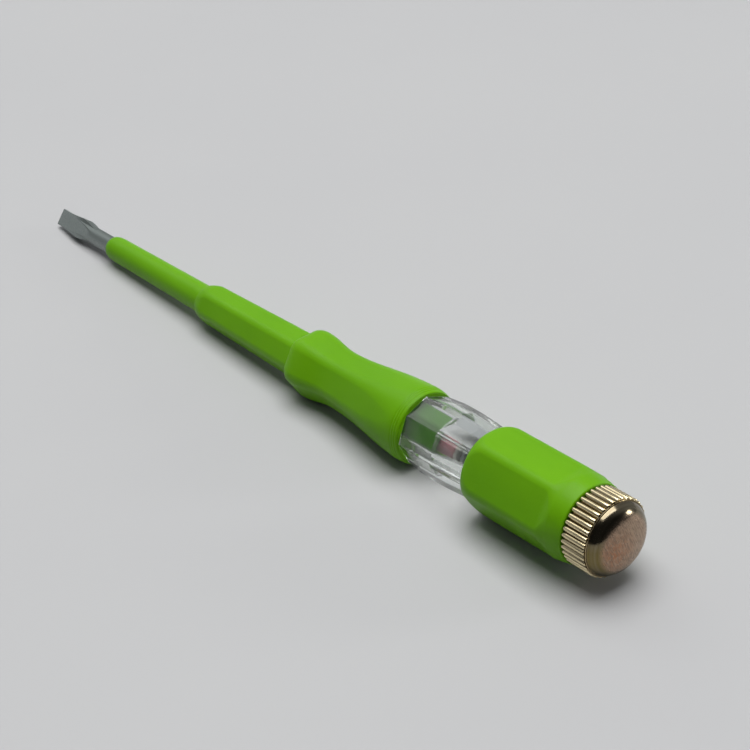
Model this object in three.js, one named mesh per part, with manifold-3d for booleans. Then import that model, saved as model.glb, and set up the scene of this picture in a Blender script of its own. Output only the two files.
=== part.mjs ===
// Voltage tester screwdriver, in millimetres. It lies along X with the blade towards -X,
// stands on the round collar of its rear grip at z = 0, and has its origin below the middle of its length.
import * as THREE from 'three';
import { mergeVertices } from 'three/addons/utils/BufferGeometryUtils.js';
import Module from 'manifold-3d';

const wasm = await Module();
wasm.setup();

// Lengths along the tool, from the tip to the cap
const bladeReach = 17; // bare steel in front of the sleeve
const sleeveReach = 28.2; // sleeve in front of the hexagonal section
const hexReach = 26.6; // hexagonal section in front of the guard collar
const handleLength = 28.2; // guard collar and flared handle
const windowLength = 13.7; // clear window between the two green grips
const rearGripLength = 20.1;
const knurlLength = 4.2;
const domeLength = 2.3;

// Clearances
const seatGap = 0.3; // between faces that rest on each other
const slipGap = 0.15; // round a piece that is pushed into a bore
const runGap = 0.35; // round the pieces in the component bore
const overrun = 1; // how far a cutter runs past what it cuts

// Blade
const shankRadius = 1.5;
const tipWidth = 2.5;
const paddleWidth = 3.6;
const paddleLength = 7.2; // from the tip to the widest place
const shoulderLength = 4.8; // from the widest place back to the shank
const tipThickness = 0.55;
const paddleThickness = 1.9; // of the forged wings
const wingSink = 0.15; // how far inside the shank's surface the wings end
const grindLength = 11.5; // of the two ground flats, which run out in the round shank
const bladeTurn = 51; // degrees that the blade is turned about its axis
const tangStandOut = 1; // tang past the end of its bore

// Sleeve
const sleeveRadius = 2.4;
const sleeveNoseRadius = 2.15;
const sleeveNoseLength = 1.9;
const sleeveInset = 8; // sleeve inside the hexagonal section

// Front grip
const hexFrontRadius = 3.4; // all hexagon radii are taken over the rounded corners
const hexRearRadius = 3.85;
const hexFaceRadius = 2.85;
const hexChamferLength = 2.4;
const collarFillet = 0.9;
const collarRadius = 5.42;
const collarFaceRadius = 4.5;
const collarCrest = 2.1; // from the collar's face to its crest
const waistRadius = 4.63;
const waistPlace = 8.8; // from the collar's face
const ringRadius = 6.03;
const ringEdgeRadius = 5.6;
const ringEdgeLength = 2.3;

// Window barrel
const windowEndRadius = 5.52;
const windowRadius = 5.97;
const windowCrestShare = 0.38;
const windowTurn = 43; // degrees, one corner of the eight above the horizontal
const neckRadius = 4.7;
const neckLength = 3.8;
const spigotRadius = 2.75;
const spigotReach = 5.8; // spigot that shows in the window
const chamberWidth = 5.6; // of the slot behind the spigot, which holds the lamp and the spring
const chamberHeight = 4.1;
const chamberTurn = 10; // degrees that the slot leans
const tailRadius = 4.5;

// Rear grip
const gripFlat = 6.05; // from the axis to a flat
const gripCornerRadius = 1.7;
const gripNoseRadius = 5.5;
const gripNoseLength = 3;
const gripFlatEnd = 4.6; // from the grip's back to where the flats start to run out
const gripCollarLength = 2.4; // round collar at the grip's back
const gripCollarRadius = 6.5;
const gripBackRadius = 6.02;

// End cap
const capRadius = 5.95;
const knurlDepth = 0.36;
const knurlTeeth = 38;
const knurlLead = 0.1; // chamfer at the teeth's front ends
const knurlRunOut = 0.3; // slope at their rear ends
const landLength = 0.3; // plain lip behind the teeth
const domeRimRadius = 5.55;
const domeSquareness = 2.5; // 2 is a plain ellipse, more is flatter with a tighter shoulder
const studRadius = 2.5;
const studLength = 5.6;
const studBoreRadius = 1.45; // the contact button covers this blind hole
const studBoreDepth = 9;

// Components in the bore
const componentRadius = 1.75;
const buttonLength = 1.4;
const buttonBossRadius = 0.9;
const buttonBossLength = 0.5;
const wireRadius = 0.25;
const springPitch = 1;
const lampReach = 3.4; // lamp that shows behind the spigot
const lampLength = 8.4; // with its two contacts
const glassWall = 0.4;
const contactLength = 0.6;
const electrodeRadius = 0.3;
const electrodeSpacing = 1;
const electrodeLength = 5.2;
const resistorLength = 9;
const resistorRadius = 1.5;
const resistorCapLength = 1.3;

// How fine the surfaces are
const roundSides = 48;
const cornerPoints = 7; // on each rounded corner of a hexagon or octagon

// Places along X that follow from the lengths
const length = bladeReach + sleeveReach + hexReach + handleLength + windowLength
  + rearGripLength + seatGap + knurlLength + domeLength;
const tipX = -length / 2;
const sleeveX = tipX + bladeReach;
const hexX = sleeveX + sleeveReach;
const collarX = hexX + hexReach;
const windowX = collarX + handleLength;
const rearX = windowX + windowLength;
const backX = rearX + rearGripLength;
const capX = backX + seatGap;
const domeX = capX + knurlLength;

// Places in the bore, from the cap's stud forward to the tang
const componentBore = componentRadius + runGap;
const studX = capX - studLength;
const buttonX = studX - seatGap - buttonLength;
const springEndX = buttonX - seatGap;
const spigotX = windowX + spigotReach;
const lampEndX = spigotX + lampReach;
const springX = lampEndX + seatGap;
const lampX = lampEndX - lampLength;
const resistorX = lampX - seatGap - resistorLength;
const tangX = resistorX - seatGap;
const chamberX = tangX - tangStandOut;

const steel = { color: 0x8b9090, roughness: 0.42, metalness: 0.9 };
const greenPlastic = { color: 0x62ae1c, roughness: 0.45, metalness: 0 };
const clearPlastic = { color: 0xdfe4e0, roughness: 0.08, metalness: 0, transparent: true, opacity: 0.35 };
const nickel = { color: 0xb9a47c, roughness: 0.34, metalness: 0.95 };
const springSteel = { color: 0x55585a, roughness: 0.4, metalness: 0.9 };
const glass = { color: 0xe6dcd8, roughness: 0.05, metalness: 0, transparent: true, opacity: 0.35 };
const molybdenum = { color: 0x8a4a50, roughness: 0.5, metalness: 0.7 };
const brass = { color: 0xb98f4a, roughness: 0.35, metalness: 0.95 };
const ceramic = { color: 0xc9b48c, roughness: 0.6, metalness: 0 };

const part = new THREE.Group();
const axis = new THREE.Group(); // the tool's own axis, lifted so that the collar's lowest facet lies at z = 0
axis.position.z = gripCollarRadius * Math.cos(Math.PI / (6 * cornerPoints));
part.add(axis);

function add(name, geometry, finish) {
  const mesh = new THREE.Mesh(geometry, new THREE.MeshStandardMaterial(finish));
  mesh.name = name;
  axis.add(mesh);
  return mesh;
}

// Solids for cutting and joining

function toSolid(geometry) {
  const bare = geometry.clone();
  bare.deleteAttribute('normal');
  bare.deleteAttribute('uv');
  const merged = mergeVertices(bare);
  return new wasm.Manifold(new wasm.Mesh({
    numProp: 3,
    vertProperties: merged.getAttribute('position').array,
    triVerts: new Uint32Array(merged.index.array),
  }));
}

function toGeometry(solid) {
  const mesh = solid.getMesh();
  const geometry = new THREE.BufferGeometry();
  const vertices = new Float32Array(mesh.vertProperties);
  geometry.setAttribute('position', new THREE.BufferAttribute(vertices, mesh.numProp));
  geometry.setIndex(new THREE.BufferAttribute(new Uint32Array(mesh.triVerts), 1));
  geometry.computeVertexNormals();
  return geometry;
}

// A revolved solid about X: its profile is a list of [x, radius] that starts and ends on the axis
// or closes on itself, with x running forward on the outside.
function revolve(profile, sides = roundSides) {
  const points = profile.map(([x, radius]) => new THREE.Vector2(radius, x));
  return new THREE.LatheGeometry(points, sides).rotateZ(-Math.PI / 2);
}

function rod(from, to, radius, sides = roundSides) {
  return revolve([[from, 0], [from, radius], [to, radius], [to, 0]], sides);
}

function tube(from, to, radius, bore, sides = roundSides) {
  return revolve([[from, bore], [from, radius], [to, radius], [to, bore], [from, bore]], sides);
}

// The outline of a regular polygon with rounded corners, as [y, z] points.
// A round share of 1 makes it a circle; radius is measured over a rounded corner.
function polygon(sides, radius, roundShare, turn = 0) {
  const half = Math.PI / sides;
  const inner = radius / (1 / Math.cos(half) - roundShare * (1 / Math.cos(half) - 1));
  const corner = inner * roundShare;
  const centre = (inner - corner) / Math.cos(half);
  const outline = [];
  for (let side = 0; side < sides; side++) {
    const middle = THREE.MathUtils.degToRad(turn) + 2 * half * side;
    for (let step = 0; step < cornerPoints; step++) {
      const angle = middle + half * (2 * step / (cornerPoints - 1) - 1) * (cornerPoints - 1) / cornerPoints;
      outline.push([
        centre * Math.cos(middle) + corner * Math.cos(angle),
        centre * Math.sin(middle) + corner * Math.sin(angle),
      ]);
    }
  }
  return outline;
}

// A solid through outlines with equal numbers of points, each at its own x, closed by flat ends.
function loft(sections) {
  const count = sections[0].outline.length;
  const positions = [];
  const index = [];
  for (const { x, outline } of sections) {
    for (const [y, z] of outline) positions.push(x, y, z);
  }
  for (let row = 0; row + 1 < sections.length; row++) {
    for (let i = 0; i < count; i++) {
      const a = row * count + i;
      const b = row * count + (i + 1) % count;
      index.push(a, b, a + count, b, b + count, a + count);
    }
  }
  const first = positions.length / 3;
  const last = first + 1;
  const rear = (sections.length - 1) * count;
  positions.push(sections[0].x, 0, 0, sections.at(-1).x, 0, 0);
  for (let i = 0; i < count; i++) {
    const next = (i + 1) % count;
    index.push(first, next, i, last, rear + i, rear + next);
  }
  const geometry = new THREE.BufferGeometry();
  geometry.setAttribute('position', new THREE.Float32BufferAttribute(positions, 3));
  geometry.setIndex(index);
  geometry.computeVertexNormals();
  return geometry;
}

// Smooth change from one value to another while share runs from 0 to 1
function ease(from, to, share) {
  return from + (to - from) * (1 - Math.cos(Math.PI * share)) / 2;
}

// Quarter ellipse: 0 at its start, 1 at its end, leaving at a right angle to its arrival
function arc(share) {
  return Math.sin(Math.PI / 2 * share);
}

function shares(steps) {
  return Array.from({ length: steps + 1 }, (_, step) => step / steps);
}

// Steel blade: a round shank with forged wings, ground to a flat tip from two sides
function makeBlade() {
  const half = paddleWidth / 2;
  const paddleX = tipX + paddleLength;
  const neckX = paddleX + shoulderLength;
  const wings = new THREE.Shape([
    new THREE.Vector2(tipX, -tipWidth / 2),
    new THREE.Vector2(paddleX, -half),
    new THREE.Vector2(neckX, wingSink - shankRadius),
    new THREE.Vector2(neckX, shankRadius - wingSink),
    new THREE.Vector2(paddleX, half),
    new THREE.Vector2(tipX, tipWidth / 2),
  ]);
  const plate = new THREE.ExtrudeGeometry(wings, { depth: paddleThickness, bevelEnabled: false });
  plate.translate(0, 0, -paddleThickness / 2);

  const grindX = tipX + grindLength;
  const reach = paddleWidth + overrun;
  const ground = new THREE.Shape([
    new THREE.Vector2(tipX - overrun, tipThickness / 2),
    new THREE.Vector2(tipX, tipThickness / 2),
    new THREE.Vector2(grindX, shankRadius),
    new THREE.Vector2(grindX, reach),
    new THREE.Vector2(tipX - overrun, reach),
  ]);
  const wedge = new THREE.ExtrudeGeometry(ground, { depth: 2 * reach, bevelEnabled: false });
  wedge.translate(0, 0, -reach).rotateX(Math.PI / 2);

  const tipHalf = tipWidth / 2;
  const sideCut = new THREE.Shape([
    new THREE.Vector2(tipX - overrun, tipHalf),
    new THREE.Vector2(tipX, tipHalf),
    new THREE.Vector2(paddleX, half),
    new THREE.Vector2(paddleX, reach),
    new THREE.Vector2(tipX - overrun, reach),
  ]);
  const side = new THREE.ExtrudeGeometry(sideCut, { depth: 2 * reach, bevelEnabled: false });
  side.translate(0, 0, -reach);

  const upper = toSolid(wedge);
  const left = toSolid(side);
  const blank = toSolid(rod(tipX, tangX, shankRadius)).add(toSolid(plate));
  const turned = (solid) => toSolid(toGeometry(solid).rotateX(Math.PI));
  const blade = blank.subtract(upper).subtract(turned(upper)).subtract(left).subtract(turned(left));
  return toGeometry(blade).rotateX(THREE.MathUtils.degToRad(bladeTurn));
}

// Insulating sleeve with a round nose
function makeSleeve() {
  const bore = shankRadius + slipGap;
  const profile = [];
  for (const share of shares(8)) {
    const turn = Math.PI / 2 * share;
    profile.push([
      sleeveX + sleeveNoseLength * (1 - Math.cos(turn)),
      bore + (sleeveNoseRadius - bore) * Math.sin(turn),
    ]);
  }
  profile.push([hexX, sleeveRadius]);
  profile.push([hexX + sleeveInset, sleeveRadius]);
  profile.push([hexX + sleeveInset, bore]);
  profile.push([sleeveX, bore]);
  return revolve(profile);
}

// Front grip: hexagonal section, guard collar and flared handle in one loft, with the spigot
// that carries the lamp and the socket round it
function makeFrontGrip() {
  const hexRoundShare = 0.45;
  const flareRoundPower = 3; // the facets stay crisp and turn round only near the ring
  const sections = [];
  const station = (x, radius, roundShare) => sections.push({ x, outline: polygon(6, radius, roundShare) });

  station(hexX, hexFaceRadius, 1);
  for (const share of shares(3).slice(1)) {
    const radius = hexFaceRadius + (hexFrontRadius - hexFaceRadius) * arc(share);
    station(hexX + hexChamferLength * share, radius, 1 + (hexRoundShare - 1) * share);
  }
  station(collarX - collarFillet, hexRearRadius, hexRoundShare);
  for (const share of shares(4).slice(1)) {
    const turn = Math.PI / 2 * share;
    const radius = collarFaceRadius - (collarFaceRadius - hexRearRadius) * Math.cos(turn);
    station(collarX - collarFillet * (1 - Math.sin(turn)), radius, hexRoundShare);
  }
  for (const share of shares(6).slice(1)) {
    const turn = Math.PI / 2 * share;
    const radius = collarFaceRadius + (collarRadius - collarFaceRadius) * Math.sin(turn);
    station(collarX + collarCrest * (1 - Math.cos(turn)), radius, hexRoundShare);
  }
  const crestX = collarX + collarCrest;
  const waistX = collarX + waistPlace;
  const ringX = windowX - ringEdgeLength;
  for (const share of shares(7).slice(1)) {
    station(crestX + (waistX - crestX) * share, ease(collarRadius, waistRadius, share), hexRoundShare);
  }
  for (const share of shares(12).slice(1)) {
    const roundShare = hexRoundShare + (1 - hexRoundShare) * share ** flareRoundPower;
    station(waistX + (ringX - waistX) * share, ease(waistRadius, ringRadius, share), roundShare);
  }
  for (const share of shares(5).slice(1)) {
    const turn = Math.PI / 2 * share;
    const radius = ringEdgeRadius + (ringRadius - ringEdgeRadius) * Math.cos(turn);
    station(ringX + ringEdgeLength * Math.sin(turn), radius, 1);
  }

  const socketX = windowX - neckLength - seatGap;
  const sleeveBoreEnd = hexX + sleeveInset + seatGap;
  const spigot = loft([socketX - overrun, spigotX].map((x) => ({ x, outline: spigotOutline(0) })));
  const grip = toSolid(loft(sections))
    .subtract(toSolid(rod(socketX, windowX + overrun, neckRadius + slipGap)))
    .add(toSolid(spigot))
    .subtract(toSolid(rod(chamberX, spigotX + overrun, componentBore)))
    .subtract(toSolid(rod(hexX - overrun, chamberX + overrun, shankRadius + slipGap)))
    .subtract(toSolid(rod(hexX - overrun, sleeveBoreEnd, sleeveRadius + slipGap)));
  return toGeometry(grip);
}

// The spigot's six-sided outline, or its socket's when it is grown by a clearance
function spigotOutline(clearance) {
  const spigotRoundShare = 0.35;
  return polygon(6, spigotRadius + clearance, spigotRoundShare);
}

// The slot's outline: its flat top throws back the light behind the window, so the lamp shows
// only from the side
function chamberOutline() {
  const turn = THREE.MathUtils.degToRad(-chamberTurn);
  const corners = [[1, 1], [-1, 1], [-1, -1], [1, -1]];
  return corners.map(([side, level]) => {
    const y = side * chamberWidth / 2;
    const z = level * chamberHeight / 2;
    return [y * Math.cos(turn) - z * Math.sin(turn), y * Math.sin(turn) + z * Math.cos(turn)];
  });
}

// Clear barrel: eight-sided bulged window, neck in the front grip, tail tube under the rear grip
function makeClearBarrel() {
  const windowRoundShare = 0.12;
  const from = windowX + seatGap;
  const to = rearX - seatGap;
  const crest = from + (to - from) * windowCrestShare;
  const sections = [];
  for (const share of shares(4)) {
    const x = from + (crest - from) * share;
    const radius = windowEndRadius + (windowRadius - windowEndRadius) * arc(share);
    sections.push({ x, outline: polygon(8, radius, windowRoundShare, windowTurn) });
  }
  for (const share of shares(6).slice(1)) {
    const x = crest + (to - crest) * share;
    const radius = windowRadius - (windowRadius - windowEndRadius) * share * share;
    sections.push({ x, outline: polygon(8, radius, windowRoundShare, windowTurn) });
  }
  const neckX = windowX - neckLength;
  const socketOutline = spigotOutline(slipGap);
  const socket = loft([neckX - overrun, spigotX + seatGap].map((x) => ({ x, outline: socketOutline })));
  const chamber = loft([spigotX, studX].map((x) => ({ x, outline: chamberOutline() })));
  const barrel = toSolid(loft(sections))
    .add(toSolid(rod(neckX, from + overrun, neckRadius)))
    .add(toSolid(rod(to - overrun, backX, tailRadius)))
    .subtract(toSolid(socket))
    .subtract(toSolid(chamber))
    .subtract(toSolid(rod(studX - seatGap, backX + overrun, studRadius + seatGap)));
  return toGeometry(barrel);
}

// Rear grip: six flats that run out into a round collar before the cap
function makeRearGrip() {
  const gripRoundShare = gripCornerRadius / gripFlat;
  const corner = Math.cos(Math.PI / 6);
  const gripRadius = gripFlat / corner - gripCornerRadius * (1 / corner - 1);
  const sections = [];
  const station = (x, radius, roundShare) => sections.push({ x, outline: polygon(6, radius, roundShare) });
  for (const share of shares(6)) {
    const turn = Math.PI / 2 * share;
    const radius = gripNoseRadius + (gripRadius - gripNoseRadius) * Math.sin(turn);
    station(rearX + gripNoseLength * (1 - Math.cos(turn)), radius, ease(1, gripRoundShare, share));
  }
  const flatEndX = backX - gripFlatEnd;
  const roundX = backX - gripCollarLength;
  for (const share of shares(6)) {
    station(
      flatEndX + (roundX - flatEndX) * share,
      ease(gripRadius, gripCollarRadius, share),
      ease(gripRoundShare, 1, share),
    );
  }
  station(backX, gripBackRadius, 1);
  const bore = rod(rearX - overrun, backX + overrun, tailRadius + slipGap);
  return toGeometry(toSolid(loft(sections)).subtract(toSolid(bore)));
}

// Straight-knurled cap with a polished shoulder, a crowned end and the drilled stud that screws in
function makeEndCap() {
  const crestShare = 0.34;
  const rootShare = 0.24;
  const landShare = 0.6; // how deep the plain lip lies behind the teeth
  const teeth = (depth) => {
    const outline = [];
    const pitch = 2 * Math.PI / knurlTeeth;
    for (let tooth = 0; tooth < knurlTeeth; tooth++) {
      const crest = [[-crestShare / 2, 0], [crestShare / 2, 0]];
      const root = [[(1 - rootShare) / 2, depth], [(1 + rootShare) / 2, depth]];
      for (const [share, cut] of [...crest, ...root]) {
        const angle = pitch * (tooth + share);
        outline.push([(capRadius - cut) * Math.cos(angle), (capRadius - cut) * Math.sin(angle)]);
      }
    }
    return outline;
  };
  const shrink = (outline, by) => {
    const scale = 1 - by / capRadius;
    return outline.map(([y, z]) => [y * scale, z * scale]);
  };
  const landX = domeX - landLength;
  const knurl = loft([
    { x: capX, outline: shrink(teeth(knurlDepth), knurlLead) },
    { x: capX + knurlLead, outline: teeth(knurlDepth) },
    { x: landX - knurlRunOut, outline: teeth(knurlDepth) },
    { x: landX, outline: shrink(teeth(knurlDepth), knurlDepth) },
  ]);
  const landRadius = capRadius - knurlDepth * landShare;
  const profile = [[studX, 0], [studX, studRadius], [capX + overrun, studRadius]];
  profile.push([capX + overrun, landRadius], [domeX, landRadius], [domeX, domeRimRadius]);
  const power = 2 / domeSquareness;
  for (const share of shares(12).slice(1)) {
    const turn = Math.PI / 2 * share;
    const radius = share < 1 ? domeRimRadius * Math.cos(turn) ** power : 0;
    profile.push([domeX + domeLength * Math.sin(turn) ** power, radius]);
  }
  const bore = rod(studX - overrun, studX + studBoreDepth, studBoreRadius);
  return toGeometry(toSolid(knurl).add(toSolid(revolve(profile))).subtract(toSolid(bore)));
}

// Coil spring: one unbroken wire of five sides, eight steps to a curl, with straight ends
function makeSpring() {
  const stepsPerCurl = 8;
  const wireSides = 5;
  const coilRadius = componentRadius - wireRadius;
  const from = springX + wireRadius;
  const to = springEndX - wireRadius;
  const curls = Math.floor((to - from) / springPitch);
  const rise = (to - from) / curls;
  const points = [];
  for (let step = 0; step <= curls * stepsPerCurl; step++) {
    const angle = 2 * Math.PI * step / stepsPerCurl;
    const x = from + rise * step / stepsPerCurl;
    points.push(new THREE.Vector3(x, coilRadius * Math.cos(angle), coilRadius * Math.sin(angle)));
  }
  const straight = 2 * wireRadius;
  points.unshift(new THREE.Vector3(from, coilRadius, -straight));
  const lastAngle = 2 * Math.PI * curls;
  points.push(new THREE.Vector3(
    to,
    coilRadius * Math.cos(lastAngle) - straight * Math.sin(lastAngle),
    coilRadius * Math.sin(lastAngle) + straight * Math.cos(lastAngle),
  ));

  let leastGap = Infinity;
  for (let i = 0; i < points.length; i++) {
    for (let j = i + stepsPerCurl / 2; j < points.length; j++) {
      leastGap = Math.min(leastGap, points[i].distanceTo(points[j]) - 2 * wireRadius);
    }
  }
  console.log(`pressure_spring: least gap to itself ${leastGap.toFixed(2)} mm`);

  const positions = [];
  const index = [];
  points.forEach((point, row) => {
    const before = points[Math.max(row - 1, 0)];
    const after = points[Math.min(row + 1, points.length - 1)];
    const along = after.clone().sub(before).normalize();
    const out = new THREE.Vector3(0, point.y, point.z).normalize();
    const across = along.clone().cross(out).normalize();
    const outward = across.clone().cross(along).normalize();
    for (let side = 0; side < wireSides; side++) {
      const angle = 2 * Math.PI * side / wireSides;
      const corner = point.clone()
        .addScaledVector(outward, wireRadius * Math.cos(angle))
        .addScaledVector(across, wireRadius * Math.sin(angle));
      positions.push(corner.x, corner.y, corner.z);
    }
  });
  for (let row = 0; row + 1 < points.length; row++) {
    for (let side = 0; side < wireSides; side++) {
      const a = row * wireSides + side;
      const b = row * wireSides + (side + 1) % wireSides;
      index.push(a, b, a + wireSides, b, b + wireSides, a + wireSides);
    }
  }
  const rear = (points.length - 1) * wireSides;
  for (let side = 1; side + 1 < wireSides; side++) {
    index.push(0, side + 1, side, rear, rear + side, rear + side + 1);
  }
  const geometry = new THREE.BufferGeometry();
  geometry.setAttribute('position', new THREE.Float32BufferAttribute(positions, 3));
  geometry.setIndex(index);
  geometry.computeVertexNormals();
  return geometry;
}

add('blade', makeBlade(), steel);
add('shaft_sleeve', makeSleeve(), greenPlastic);
add('front_grip', makeFrontGrip(), greenPlastic);
add('clear_barrel', makeClearBarrel(), clearPlastic);
add('rear_grip', makeRearGrip(), greenPlastic);
add('end_cap', makeEndCap(), nickel);
add('pressure_spring', makeSpring(), springSteel);

// Contact button: a disc with a boss that centres the spring's last curl
add('contact_button', revolve([
  [buttonX - buttonBossLength, 0],
  [buttonX - buttonBossLength, buttonBossRadius],
  [buttonX, buttonBossRadius],
  [buttonX, componentRadius],
  [buttonX + buttonLength, componentRadius],
  [buttonX + buttonLength, 0],
]), brass);

// Neon lamp: an open glass tube between two contacts, with one electrode on each
const glassX = lampX + contactLength + slipGap;
const glassEndX = lampEndX - contactLength - slipGap;
add('lamp_glass', tube(glassX, glassEndX, componentRadius, componentRadius - glassWall), glass);
add('lamp_contact_front', rod(lampX, lampX + contactLength, componentRadius), brass);
add('lamp_contact_rear', rod(lampEndX - contactLength, lampEndX, componentRadius), brass);
for (const [name, side, from] of [
  ['lamp_electrode_left', -1, glassX],
  ['lamp_electrode_right', 1, glassEndX - electrodeLength],
]) {
  const electrode = add(name, rod(from, from + electrodeLength, electrodeRadius, 16), molybdenum);
  electrode.position.y = side * electrodeSpacing / 2;
}

// Series resistor: a ceramic rod between two pressed caps
const resistorEndX = resistorX + resistorLength;
const bodyX = resistorX + resistorCapLength + slipGap;
const bodyEndX = resistorEndX - resistorCapLength - slipGap;
add('resistor_body', rod(bodyX, bodyEndX, resistorRadius, 32), ceramic);
add('resistor_cap_front', rod(resistorX, resistorX + resistorCapLength, componentRadius, 32), brass);
add('resistor_cap_rear', rod(resistorEndX - resistorCapLength, resistorEndX, componentRadius, 32), brass);

export default part;
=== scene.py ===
import bpy
import bmesh
import math
from mathutils import Matrix, Vector


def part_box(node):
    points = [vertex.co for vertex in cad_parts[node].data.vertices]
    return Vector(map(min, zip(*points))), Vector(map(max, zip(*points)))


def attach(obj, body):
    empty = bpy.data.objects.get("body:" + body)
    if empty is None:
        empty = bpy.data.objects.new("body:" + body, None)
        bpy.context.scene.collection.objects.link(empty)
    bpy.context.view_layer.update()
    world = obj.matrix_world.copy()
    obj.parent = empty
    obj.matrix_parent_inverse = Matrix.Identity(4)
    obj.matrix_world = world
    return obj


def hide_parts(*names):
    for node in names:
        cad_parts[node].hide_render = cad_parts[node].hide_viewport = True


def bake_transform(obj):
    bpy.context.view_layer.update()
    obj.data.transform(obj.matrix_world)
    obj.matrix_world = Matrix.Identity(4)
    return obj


# Voltage tester screwdriver: blade towards -X, cap towards +X, lying on its flared ring and guard collar.
# Sizes are in millimetres along and round the tool's own axis, and become metres when a mesh is made.
# Angles are in degrees, and a share runs from 0 to 1.
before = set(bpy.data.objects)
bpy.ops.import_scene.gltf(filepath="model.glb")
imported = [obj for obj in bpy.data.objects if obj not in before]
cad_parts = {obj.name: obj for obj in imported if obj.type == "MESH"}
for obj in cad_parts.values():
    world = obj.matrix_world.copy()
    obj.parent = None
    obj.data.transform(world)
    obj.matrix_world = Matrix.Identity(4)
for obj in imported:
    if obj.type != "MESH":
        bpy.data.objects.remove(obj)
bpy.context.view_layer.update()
mm = 0.001
mergeDistance = 1e-7  # metres
usualSharpAngle = 32  # an edge that turns by less is shaded smooth


def nodeEnds(node):
    low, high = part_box(node)
    return low.x / mm, high.x / mm


sleeveLow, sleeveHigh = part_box("shaft_sleeve")
axisHeight = (sleeveLow.z + sleeveHigh.z) / 2  # the sleeve is round, so its middle is the tool's axis
tipX, tangX = nodeEnds("blade")
sleeveX, sleeveEndX = nodeEnds("shaft_sleeve")
hexX, spigotX = nodeEnds("front_grip")
neckX, backX = nodeEnds("clear_barrel")
rearX = nodeEnds("rear_grip")[0]
studX, endX = nodeEnds("end_cap")
print("frame loaded:", len(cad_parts), "nodes")


# Small helpers for shapes
def mix(start, end, share):
    return start + (end - start) * share


def ease(start, end, share):
    return mix(start, end, (1 - math.cos(math.pi * share)) / 2)


def steps(count):
    return [i / count for i in range(count + 1)]


def turnPoints(points, degrees):
    sine, cosine = math.sin(math.radians(degrees)), math.cos(math.radians(degrees))
    return [(x, y * cosine - z * sine, y * sine + z * cosine) for x, y, z in points]


# How far the flats of a polygon with rounded corners lie from its middle
def flatRadius(radius, sides, roundShare):
    over = 1 / math.cos(math.pi / sides)
    return radius / (over - roundShare * (over - 1))


ringPoints = 96  # every ring has this many, so any ring can follow any other


# A regular polygon with rounded corners; a round share of 1 makes it a circle
def ring(x, radius, sides=8, roundShare=1.0, turn=0.0):
    half = math.pi / sides
    flat = flatRadius(radius, sides, roundShare)
    corner = flat * roundShare
    centre = (flat - corner) * (1 / math.cos(half))
    count = ringPoints // sides
    points = []
    for side in range(sides):
        middle = math.radians(turn) + 2 * half * side
        for i in range(count):
            angle = middle + half * (2 * i / (count - 1) - 1) * (count - 1) / count
            y = centre * math.cos(middle) + corner * math.cos(angle)
            z = centre * math.sin(middle) + corner * math.sin(angle)
            points.append((x, y, z))
    # start every ring at the point nearest to +Y, so that rings of other shapes don't twist
    first = min(range(len(points)), key=lambda i: abs(math.atan2(points[i][2], points[i][1])))
    return points[first:] + points[:first]


# A rectangle with rounded corners, leaning by turn
def slotRing(x, width, height, corner, turn):
    count = ringPoints // 4
    points = []
    for quarter in range(4):
        middle = math.pi / 4 + math.pi / 2 * quarter
        centreY = math.copysign(width / 2 - corner, math.cos(middle))
        centreZ = math.copysign(height / 2 - corner, math.sin(middle))
        for i in range(count):
            angle = middle + math.pi / 4 * (2 * i / (count - 1) - 1)
            points.append((x, centreY + corner * math.cos(angle), centreZ + corner * math.sin(angle)))
    return turnPoints(points, turn)


def finishMesh(bm, name, sharpAngle=usualSharpAngle):
    bmesh.ops.remove_doubles(bm, verts=bm.verts, dist=mergeDistance)
    bmesh.ops.recalc_face_normals(bm, faces=bm.faces)
    limit = math.radians(sharpAngle)
    for face in bm.faces:
        face.smooth = True
    for edge in bm.edges:
        edge.smooth = len(edge.link_faces) == 2 and edge.calc_face_angle() < limit
    mesh = bpy.data.meshes.new(name)
    bm.to_mesh(mesh)
    bm.free()
    return mesh


def toMetres(point):
    x, y, z = point
    return x * mm, y * mm, z * mm + axisHeight


# A skin over rings: a closed one joins its last ring to its first, an open one gets two end faces
def skinMesh(name, rings, closed=True, sharpAngle=usualSharpAngle, place=toMetres):
    bm = bmesh.new()
    rows = [[bm.verts.new(place(point)) for point in points] for points in rings]
    count = len(rows[0])
    pairs = list(zip(rows, rows[1:]))
    if closed:
        pairs.append((rows[-1], rows[0]))
    for first, second in pairs:
        for i in range(count):
            j = (i + 1) % count
            bm.faces.new((first[i], first[j], second[j], second[i]))
    if not closed:
        bm.faces.new(rows[0])
        bm.faces.new(rows[-1])
    return finishMesh(bm, name, sharpAngle)


def addObject(name, data):
    made = bpy.data.objects.new(name, data)
    bpy.context.scene.collection.objects.link(made)
    return made


def addPiece(mesh, name, material, node):
    piece = addObject(name, mesh)
    mesh.materials.append(material)
    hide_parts(node)
    return piece


def ringPiece(name, rings, material, node, closed=True, sharpAngle=usualSharpAngle):
    return addPiece(skinMesh(name, rings, closed, sharpAngle), name, material, node)


def applyModifiers(piece):
    bpy.context.view_layer.update()
    done = piece.evaluated_get(bpy.context.evaluated_depsgraph_get())
    mesh = bpy.data.meshes.new_from_object(done)
    piece.modifiers.clear()
    piece.data = mesh
    return mesh


# Small helpers for node trees
def hexColour(text):
    channels = [int(text[i:i + 2], 16) / 255 for i in (0, 2, 4)]
    linear = [c / 12.92 if c <= 0.04045 else ((c + 0.055) / 1.055) ** 2.4 for c in channels]
    return (*linear, 1.0)


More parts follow.
